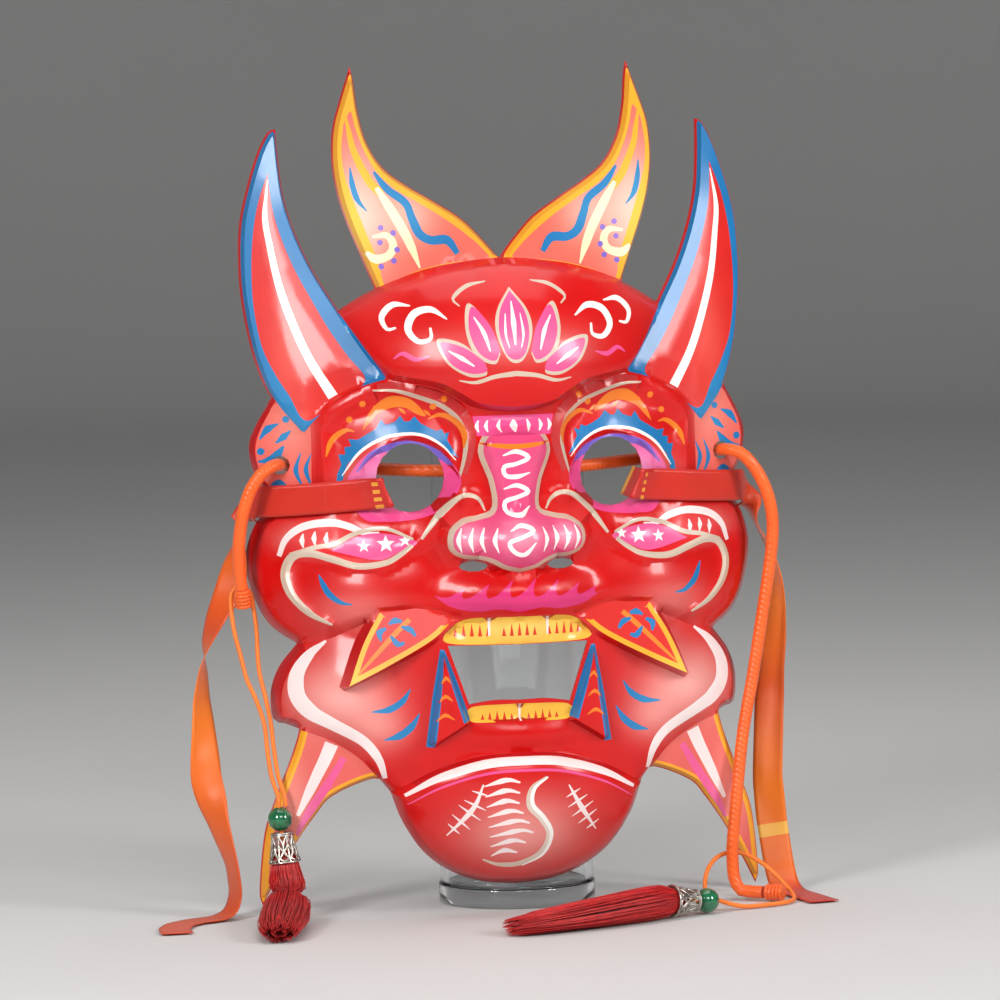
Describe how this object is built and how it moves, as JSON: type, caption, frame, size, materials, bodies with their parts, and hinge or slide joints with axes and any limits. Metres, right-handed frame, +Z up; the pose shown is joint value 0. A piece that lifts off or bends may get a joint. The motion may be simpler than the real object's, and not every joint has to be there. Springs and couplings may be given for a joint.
{
  "type": "nuo mask on a clear stand",
  "caption": "Red nuo opera demon mask with horns, tusks and fangs, tied with cord, ribbons and tassels, leaning on a clear tube stand.",
  "frame": {"origin": "middle of the underside of the stand's disc, on the surface it stands on", "axes": "+Z up, the face looks along -Y, +X is the viewer's right"},
  "size_m": [0.2572, 0.132, 0.3178],
  "materials": {
    "mask": "gloss, printed",
    "clear": "clear, polished",
    "cord": "satin",
    "ribbon": "satin",
    "bead": "gloss",
    "cap": "aged silver",
    "tassel": "silk"
  },
  "bodies": {
    "root": {"mask_sheet": "mask", "stand_base": "clear", "stand_tube": "clear", "ear_cord": "cord", "knot_left": "cord", "knot_right": "cord", "ribbon_left": "ribbon", "ribbon_right": "ribbon", "loop_cord_left": "cord", "loop_cord_right": "cord", "bead_left": "bead", "bead_right": "bead", "cap_left": "cap", "cap_right": "cap", "tassel_left": "tassel", "tassel_right": "tassel"}
  },
  "joints": []
}
